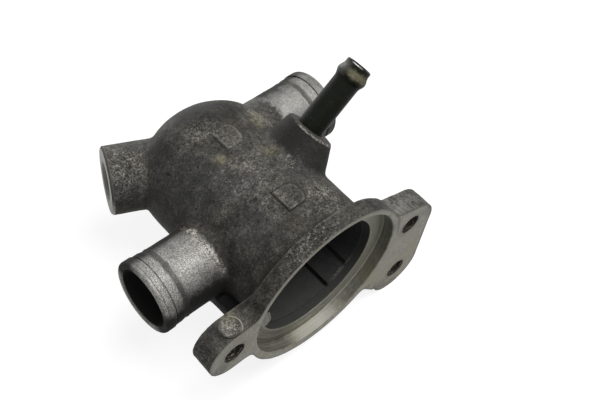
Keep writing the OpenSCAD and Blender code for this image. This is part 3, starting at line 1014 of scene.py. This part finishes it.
def face_colour(m):
    """Machined face and turned seat, stained with use, with painted light and shade on the seat wall."""
    board, x, y, z, around, face = m.board, m.x, m.y, m.z, m.around, m.face
    patch, mottle, fine, wobble = m.patch, m.mottle, m.fine, m.wobble
    turned_place = board.add("ShaderNodeCombineXYZ", None, {0: around * 1.1, 1: y * 1.1})
    m.lathe_lines = board.noise(turned_place, 1.0, 2.0, 0.6)
    tone = 0.5 + (m.lathe_lines - 0.5) * (0.15 + m.seat * (0.7 + 0.9 * x.fall(-14.0, -4.0)))
    tone = tone + (patch - 0.5) * 0.6 + (mottle - 0.5) * 0.8 + (fine - 0.5) * 0.7
    pale = board.colours(tone, [
        (0.15, srgb(96, 95, 86)), (0.5, srgb(141, 139, 128)), (0.9, srgb(178, 176, 164))])
    stain = board.noise(m.place, 0.13, 3.0, 0.6).rise(0.48, 0.68)
    stain = (stain + x.rise(20.0, 30.0) * z.fall(-24.0, -8.0) * 0.6).least(1.0)
    brim = m.outline.rise(-2.5, 0.0)
    smudge = (brim + (mottle - 0.5) * 1.0 + (patch - 0.5) * 0.8).rise(0.65, 1.0) * face
    worn_edge = (m.outline + wobble * 1.6).rise(-1.6, -0.4) * face * x.rise(26.0, 34.0)
    ring_print = board.length(x, z + RING_DROP).band(35.6, 36.8, 0.5) * z.rise(-4.0, 5.0)
    ring_print = ring_print * face * x.rise(22.0, 26.0)
    bolt_dirt = m.bolt_r.fall(4.6, 6.4 + patch * 2.0) * (mottle + patch - 0.5).rise(0.4, 0.7) * face
    soiled = spots(m, SOILED) * (mottle * 0.6 + fine * 0.4).rise(0.38, 0.6)
    corner = y.band(4.7, 5.2, 0.1) * around.band(32.6, 33.3, 0.15)
    wavy = x + wobble * 8.0
    # Painted light on the seat wall's bottom, which faces the light, and painted shade toward its sides.
    lit_seat_wall = wavy.rise(-17.0, -3.0) * wavy.fall(4.0, 20.0) * z.fall(-20.0, -10.0)
    coolant = spots(m, COOLANT) * mottle.rise(0.35, 0.6)
    return board.layered(pale, [
        (stain * 0.65, srgb(136, 128, 101)),
        (smudge * 0.65, srgb(66, 62, 53)),
        (worn_edge * (0.3 + mottle * 0.8), srgb(62, 58, 50)),
        (ring_print * (0.3 + mottle * 0.6), srgb(70, 66, 56)),
        (bolt_dirt * 0.75, srgb(60, 56, 48)),
        (soiled * 0.8, srgb(50, 45, 36)),
        (m.seat_floor * x.fall(-16.0, -2.0) * 0.5, srgb(84, 83, 76)),
        (m.seat_floor * x.rise(8.0, 18.0) * 0.5, srgb(158, 157, 146)),
        (corner * x.rise(5.0, 20.0) * 0.7, srgb(196, 195, 186)),
        (m.seat_wall * lit_seat_wall * (0.45 + m.lathe_lines * 0.6), srgb(206, 204, 194)),
        (m.seat_wall * x.fall(-14.0, -6.0) * 0.5, srgb(84, 83, 75)),
        (m.seat_wall * (x + wobble * 6.0).rise(4.0, 22.0) * 0.5, srgb(74, 75, 68)),
        (coolant * 0.35, srgb(98, 132, 120))])


def inside_colour(m):
    """Cavity and bores painted dark as shade, lighter on the lower wall as painted light, with painted shadow
    beside the raised strip and a worn edge on its end.
    """
    board, x, y, z = m.board, m.x, m.y, m.z
    # Painted shade: the inside is darker than the skin, and the bores darker still.
    inside_shade = board.mix(m.patch * 0.6 + m.mottle * 0.4, srgb(32, 33, 34), srgb(68, 69, 69))
    # Painted light on the lower wall, which faces the light.
    lit_lower_wall = (m.around + m.wobble * 8.0).rise(19.0, 26.0) * z.fall(-20.0, -8.0)
    round_bore = board.math("ARCTAN2", -z, x) * (180.0 / math.pi)
    # Painted shadow beside the raised strip.
    strip_shadow = round_bore.band(60.5, 64.0, 0.8).most(round_bore.band(34.5, 38.5, 0.8))
    strip_shadow = strip_shadow * y.band(8.0, 31.0, 0.3)
    strip_edge = (y + m.wobble * 0.6).band(8.0, 8.7, 0.2) * round_bore.band(30.0, 56.0, 3.0)
    return board.layered(inside_shade, [
        (lit_lower_wall * 0.35, srgb(106, 106, 103)),
        (strip_shadow * m.cavity * 0.85, srgb(12, 12, 12)),
        (strip_edge * m.mottle.rise(0.4, 0.62) * 0.6, srgb(160, 158, 150)),
        (m.in_front.most(m.in_rear), srgb(38, 38, 37)),
        (m.throat * 0.7, srgb(66, 66, 63))])


def sensor_colour(m):
    """Turned end of the sensor boss, painted lighter toward its top as painted light; its edge is dark above
    and bright below.
    """
    board, z = m.board, m.z
    # Painted light: the turned end grows lighter toward its top.
    turned_end = board.mix(m.mottle * 0.5 + z.rise(-9.0, 9.0) * 0.6, srgb(92, 91, 86), srgb(178, 177, 169))
    wavy = z + m.wobble * 4.0
    return board.layered(turned_end, [
        (m.sensor_edge * wavy.rise(0.0, 5.0) * 0.85, srgb(46, 45, 42)),
        (m.sensor_edge * wavy.fall(-5.0, 0.0) * 0.7, srgb(186, 184, 176))])


def cast_metal():
    """Weathered casting: grey skin, brushed pipes, machined face and seat, stained inside."""
    material, board, shader, place = new_material("cast_aluminium_skin")
    m = casting_marks(board, place)
    x, z, mottle, fine = m.x, m.z, m.mottle, m.fine
    boss_face = board.mix(mottle * 0.6 + fine * 0.4, srgb(40, 39, 36), srgb(82, 79, 73))
    # Painted shade: the sensor hole is darker deeper in and lighter near its mouth.
    thread_depth_shade = board.mix(m.sensor_out.rise(29.0, 36.5), srgb(34, 33, 31), srgb(136, 134, 126))
    # Bolt holes: painted glints along the thread lines, more in the left hole, over a dark inside that is
    # painted shade.
    glint = board.noise(board.vector("MULTIPLY", place, (0.5, 2.2, 0.5)), 1.0, 2.0, 0.6).rise(0.54, 0.68)
    glint = glint * (0.6 + 0.4 * x.fall(-5.0, 5.0))
    colour = board.layered(skin_colour(m), [
        (m.brushed, pipe_colour(m)),
        (m.inside, inside_colour(m)),
        (m.machined, face_colour(m)),
        (m.sensor_end, sensor_colour(m)),
        (m.tube_top * 0.9, boss_face),
        # Bright band on the front of the tube boss's top rim: a worn edge, and a painted highlight, as it is
        # kept to the side toward the camera.
        (m.tube_edge * (mottle + fine - 0.5).rise(0.3, 0.62) * 0.8, srgb(158, 155, 147)),
        (m.in_sensor * 0.9, thread_depth_shade),
        (m.in_bolt * 0.95, board.mix(glint, srgb(50, 46, 41), srgb(180, 176, 166)))])

    bare = largest([m.brushed, m.machined, m.sensor_end - m.sensor_edge * z.rise(0.0, 3.0)])
    bare_rough = 0.46 + (m.scratch - 0.5) * 0.25 + m.brushed * (1.0 - m.clean) * 0.35
    rough = board.blend(bare, 0.72 + (mottle - 0.5) * 0.2, bare_rough)
    metal = board.blend(bare, 0.05, board.blend(m.brushed, 0.2, m.clean * 0.3))
    height = (fine * 0.45 + mottle * 0.55) * (1.0 - bare)
    height = height + m.scratch * m.brushed * 0.4 + m.lathe_lines * m.machined * 0.2
    links = {"Base Color": colour, "Roughness": rough, "Metallic": metal}
    finish_material(board, shader, links, height, bump=0.4, specular=0.15)
    return material


def black_tube():
    """Blackened steel tube with an olive stain on its bead, a painted sheen on the left of its tip, and a
    worn mouth rim with a painted highlight on its side toward the camera.
    """
    material, board, shader, place = new_material("black_steel_finish")
    x, y, z = board.split(place)
    up, across = tube_axes(x, z)
    fore = y - TUBE_Y
    off = board.length(across, fore)
    toward = (across * 0.72 - fore * 0.69) / off
    leftward = (across * 0.53 + fore * 0.85) / off
    patch = board.noise(place, 0.35, 4.0, 0.6)
    fine = board.noise(place, 1.6, 3.0, 0.65)
    uneven = patch - 0.5
    black = board.mix(patch * 0.6 + fine * 0.4, srgb(6, 8, 4), srgb(21, 24, 16))
    chip = (fine * 0.6 + patch * 0.4).rise(0.58, 0.64)
    stained_side = (toward + uneven * 0.8 - leftward * 0.3).rise(0.3, 0.9)
    stain = (up + uneven * 4.0).band(61.8, 64.8, 0.9) * stained_side
    olive = board.mix(fine * 0.6 + patch * 0.4, srgb(52, 50, 38), srgb(148, 143, 118))
    # Painted sheen on the left of the tip.
    tip_sheen = (up + uneven * 1.2).band(60.8, 66.3, 0.6) * leftward.rise(0.35, 0.9)
    # Painted highlight on the mouth's rim, kept to its side toward the camera.
    near = (toward * 0.9 + leftward * 0.4 + uneven * 0.3).rise(0.78, 1.0)
    lip = (up + uneven * 0.2).rise(66.5, 66.7) * off.rise(4.75, 4.9) * near
    black = board.layered(black, [
        (chip * 0.25, srgb(84, 84, 78)),
        (stain * (0.25 + fine * 0.95), olive),
        (tip_sheen * (0.3 + patch * 0.4), srgb(104, 104, 99)),
        (lip, srgb(226, 223, 214)),
        (off.fall(4.1, 4.3), srgb(14, 13, 12))])
    rough = 0.45 + (fine - 0.5) * 0.3 + stain * 0.2
    links = {"Base Color": black, "Roughness": rough, "Metallic": lip * 0.5}
    finish_material(board, shader, links, fine, bump=0.15, specular=0.1)
    return material


# Pieces, camera and studio


def dressed_casting():
    """Skin that stands for the casting: meshed, machined, marked for wear and finished."""
    casting = linked("cast_housing_skin", bpy.data.meshes.new("cast_housing_skin"))
    distance = casting_distance()
    material = cast_metal()
    run_tree(casting, casting_tree(distance, material), {"Voxel": VOXEL, **FILLETS})
    machine_casting(casting)
    casting.data.materials.clear()
    run_tree(casting, wear_tree(distance, material), {"Nook reach": NOOK_REACH, "Edge reach": EDGE_REACH})
    finish_faces(casting)
    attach(casting, "root")
    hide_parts("cast_housing")


def dressed_tube():
    """The tube keeps its own mesh and gets its finish."""
    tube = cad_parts["steel_tube"]
    tube.data.materials.clear()
    tube.data.materials.append(black_tube())


def photo_camera():
    camera = bpy.data.cameras.new("photo_camera")
    camera.sensor_width = 36.0
    camera.lens = CAMERA_LENS
    camera.clip_start = 0.01
    obj = linked("photo_camera", camera)
    obj.matrix_world = Matrix((CAMERA_RIGHT, CAMERA_ABOVE, CAMERA_BACK)).transposed().to_4x4()
    obj.matrix_world.translation = Vector(CAMERA_PLACE) * MM
    bpy.context.scene.camera = obj


def seen_directly(board):
    """1 for rays that show the backdrop itself: to the camera, or in a reflection."""
    path = board.outputs("ShaderNodeLightPath")
    return (path["Is Camera Ray"] + path["Is Glossy Ray"] + path["Is Transmission Ray"]).least(1.0)


def softbox(name, spot, size, power):
    """Round area lamp turned to the object."""
    lamp = bpy.data.lights.new(name, "AREA")
    lamp.shape = "DISK"
    lamp.size = size
    lamp.energy = power
    obj = linked(name, lamp)
    obj.location = spot
    obj.rotation_euler = (Vector(AIM) - Vector(spot)).to_track_quat("-Z", "Y").to_euler()


def white_floor():
    """Pale floor that shows white to the camera and keeps the object's shadow."""
    material = bpy.data.materials.new("white_floor")
    material.use_nodes = True
    board = Board(material.node_tree)
    shader = material.node_tree.nodes["Principled BSDF"]
    shader.inputs["Base Color"].default_value = (FLOOR_GREY, FLOOR_GREY, FLOOR_GREY, 1.0)
    shader.inputs["Roughness"].default_value = 0.9
    shader.inputs["Specular IOR Level"].default_value = 0.0
    shader.inputs["Emission Strength"].default_value = 1.0
    glow = board.mix(seen_directly(board), (0.0, 0.0, 0.0), (FLOOR_GLOW,) * 3)
    board.tree.links.new(glow.socket, shader.inputs["Emission Color"])
    return material


def studio():
    """White floor and sky, one large softbox overhead, and a weaker one low behind the object."""
    scene = bpy.context.scene
    scene.view_settings.view_transform = "Standard"
    world = bpy.data.worlds.new("studio_sky")
    world.use_nodes = True
    scene.world = world
    board = Board(world.node_tree)
    sky = board.mix(seen_directly(board), (FILL_LEVEL,) * 3, (1.0, 1.0, 1.0))
    world.node_tree.links.new(sky.socket, world.node_tree.nodes["Background"].inputs["Color"])

    bm = bmesh.new()
    bmesh.ops.create_grid(bm, x_segments=1, y_segments=1, size=FLOOR_HALF)
    bmesh.ops.translate(bm, verts=bm.verts, vec=(0, 0, cad_box[0][2] / MM))
    floor = tool_object("studio_floor", bm)
    floor.data.materials.append(white_floor())

    for name, (spot, size, power) in SOFTBOXES.items():
        softbox(name, spot, size, power)


dressed_casting()
dressed_tube()
photo_camera()
studio()
